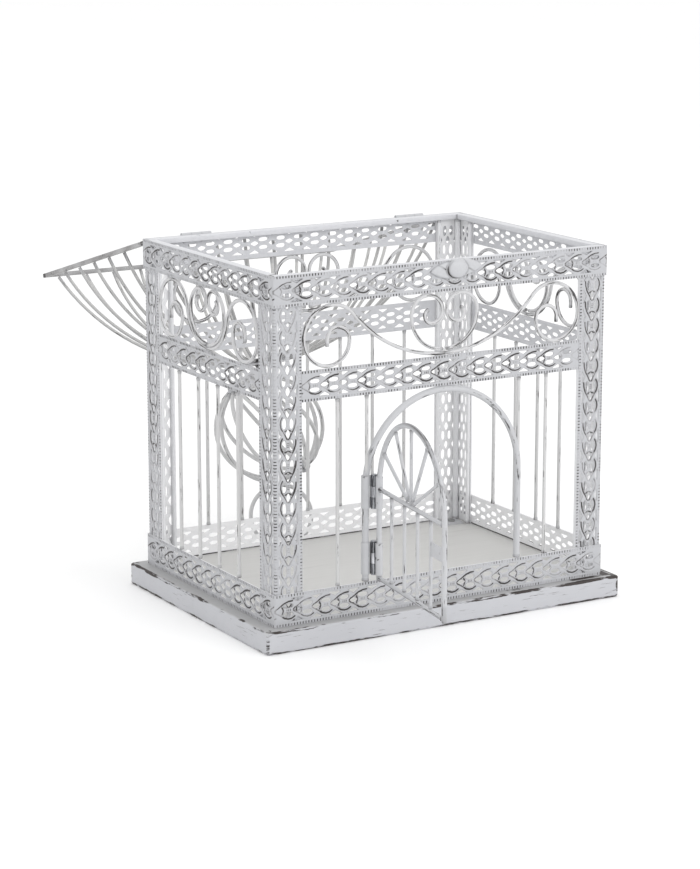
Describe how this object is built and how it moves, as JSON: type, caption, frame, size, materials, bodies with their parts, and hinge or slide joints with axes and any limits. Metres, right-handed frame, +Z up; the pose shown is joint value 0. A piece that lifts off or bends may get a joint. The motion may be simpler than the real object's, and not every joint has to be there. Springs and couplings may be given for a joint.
{
  "type": "wedding card box",
  "caption": "Bird-cage card box: filigree wire cage on a painted board, with a hinged arched door and a hinged domed wire lid that carries a wire orb and a ring.",
  "frame": {"origin": "centre of the base board's bottom face", "axes": "+X to the right along the front, +Y to the back, +Z up; the door is in the front wall, which faces -Y"},
  "size_m": [0.328, 0.5608, 0.292],
  "materials": {
    "paint": "satin white paint rubbed through to dark metal at its edges",
    "board": "white paint over wood, chipped along its edges",
    "hinge": "bare steel with some paint",
    "screw": "plain"
  },
  "bodies": {
    "cage": {"base_board": "board", "corner_lugs": "paint", "base_screws": "screw", "post_rods_front_left": "paint", "post_rods_front_right": "paint", "post_rods_back_left": "paint", "post_rods_back_right": "paint", "corner_trim_front_left": "paint", "corner_trim_front_right": "paint", "corner_trim_back_left": "paint", "corner_trim_back_right": "paint", "rim_bar_front": "paint", "rim_bar_back": "paint", "rim_bar_left": "paint", "rim_bar_right": "paint", "top_band_front": "paint", "top_band_back": "paint", "top_band_left": "paint", "top_band_right": "paint", "mid_band_front": "paint", "mid_band_back": "paint", "mid_band_left": "paint", "mid_band_right": "paint", "foot_band_front": "paint", "foot_band_back": "paint", "foot_band_left": "paint", "foot_band_right": "paint", "scrolls_front": "paint", "scrolls_back": "paint", "scrolls_left": "paint", "scrolls_right": "paint", "wall_bars_front": "paint", "wall_bars_back": "paint", "wall_bars_left": "paint", "wall_bars_right": "paint", "door_arch": "paint", "rosette": "paint", "door_hinge_fixed_leaves": "hinge", "door_hinge_pins": "hinge", "lid_hinge_fixed_leaves": "hinge", "lid_hinge_pins": "hinge"},
    "door": {"door_frame": "paint", "door_rails": "paint", "door_bars": "paint", "door_rays": "paint", "door_catch_plate": "paint", "door_hinge_moving_leaves": "hinge"},
    "lid": {"lid_frame": "paint", "lid_ribs_front": "paint", "lid_ribs_back": "paint", "lid_ribs_left": "paint", "lid_ribs_right": "paint", "lid_apex_disc": "paint", "orb_wires": "paint", "orb_beads": "paint", "finial_ring": "paint", "lid_hinge_moving_leaves": "hinge"}
  },
  "joints": [
    {"name": "lid_hinge", "type": "hinge", "parent": "cage", "child": "lid", "pos_m": [0, 0.1122, 0.29], "axis": [1, 0, 0], "range_deg": [0, 195.5]},
    {"name": "door_hinge", "type": "hinge", "parent": "cage", "child": "door", "pos_m": [-0.064, -0.10935, 0.09], "axis": [0, 0, 1], "range_deg": [-52, 98]}
  ]
}
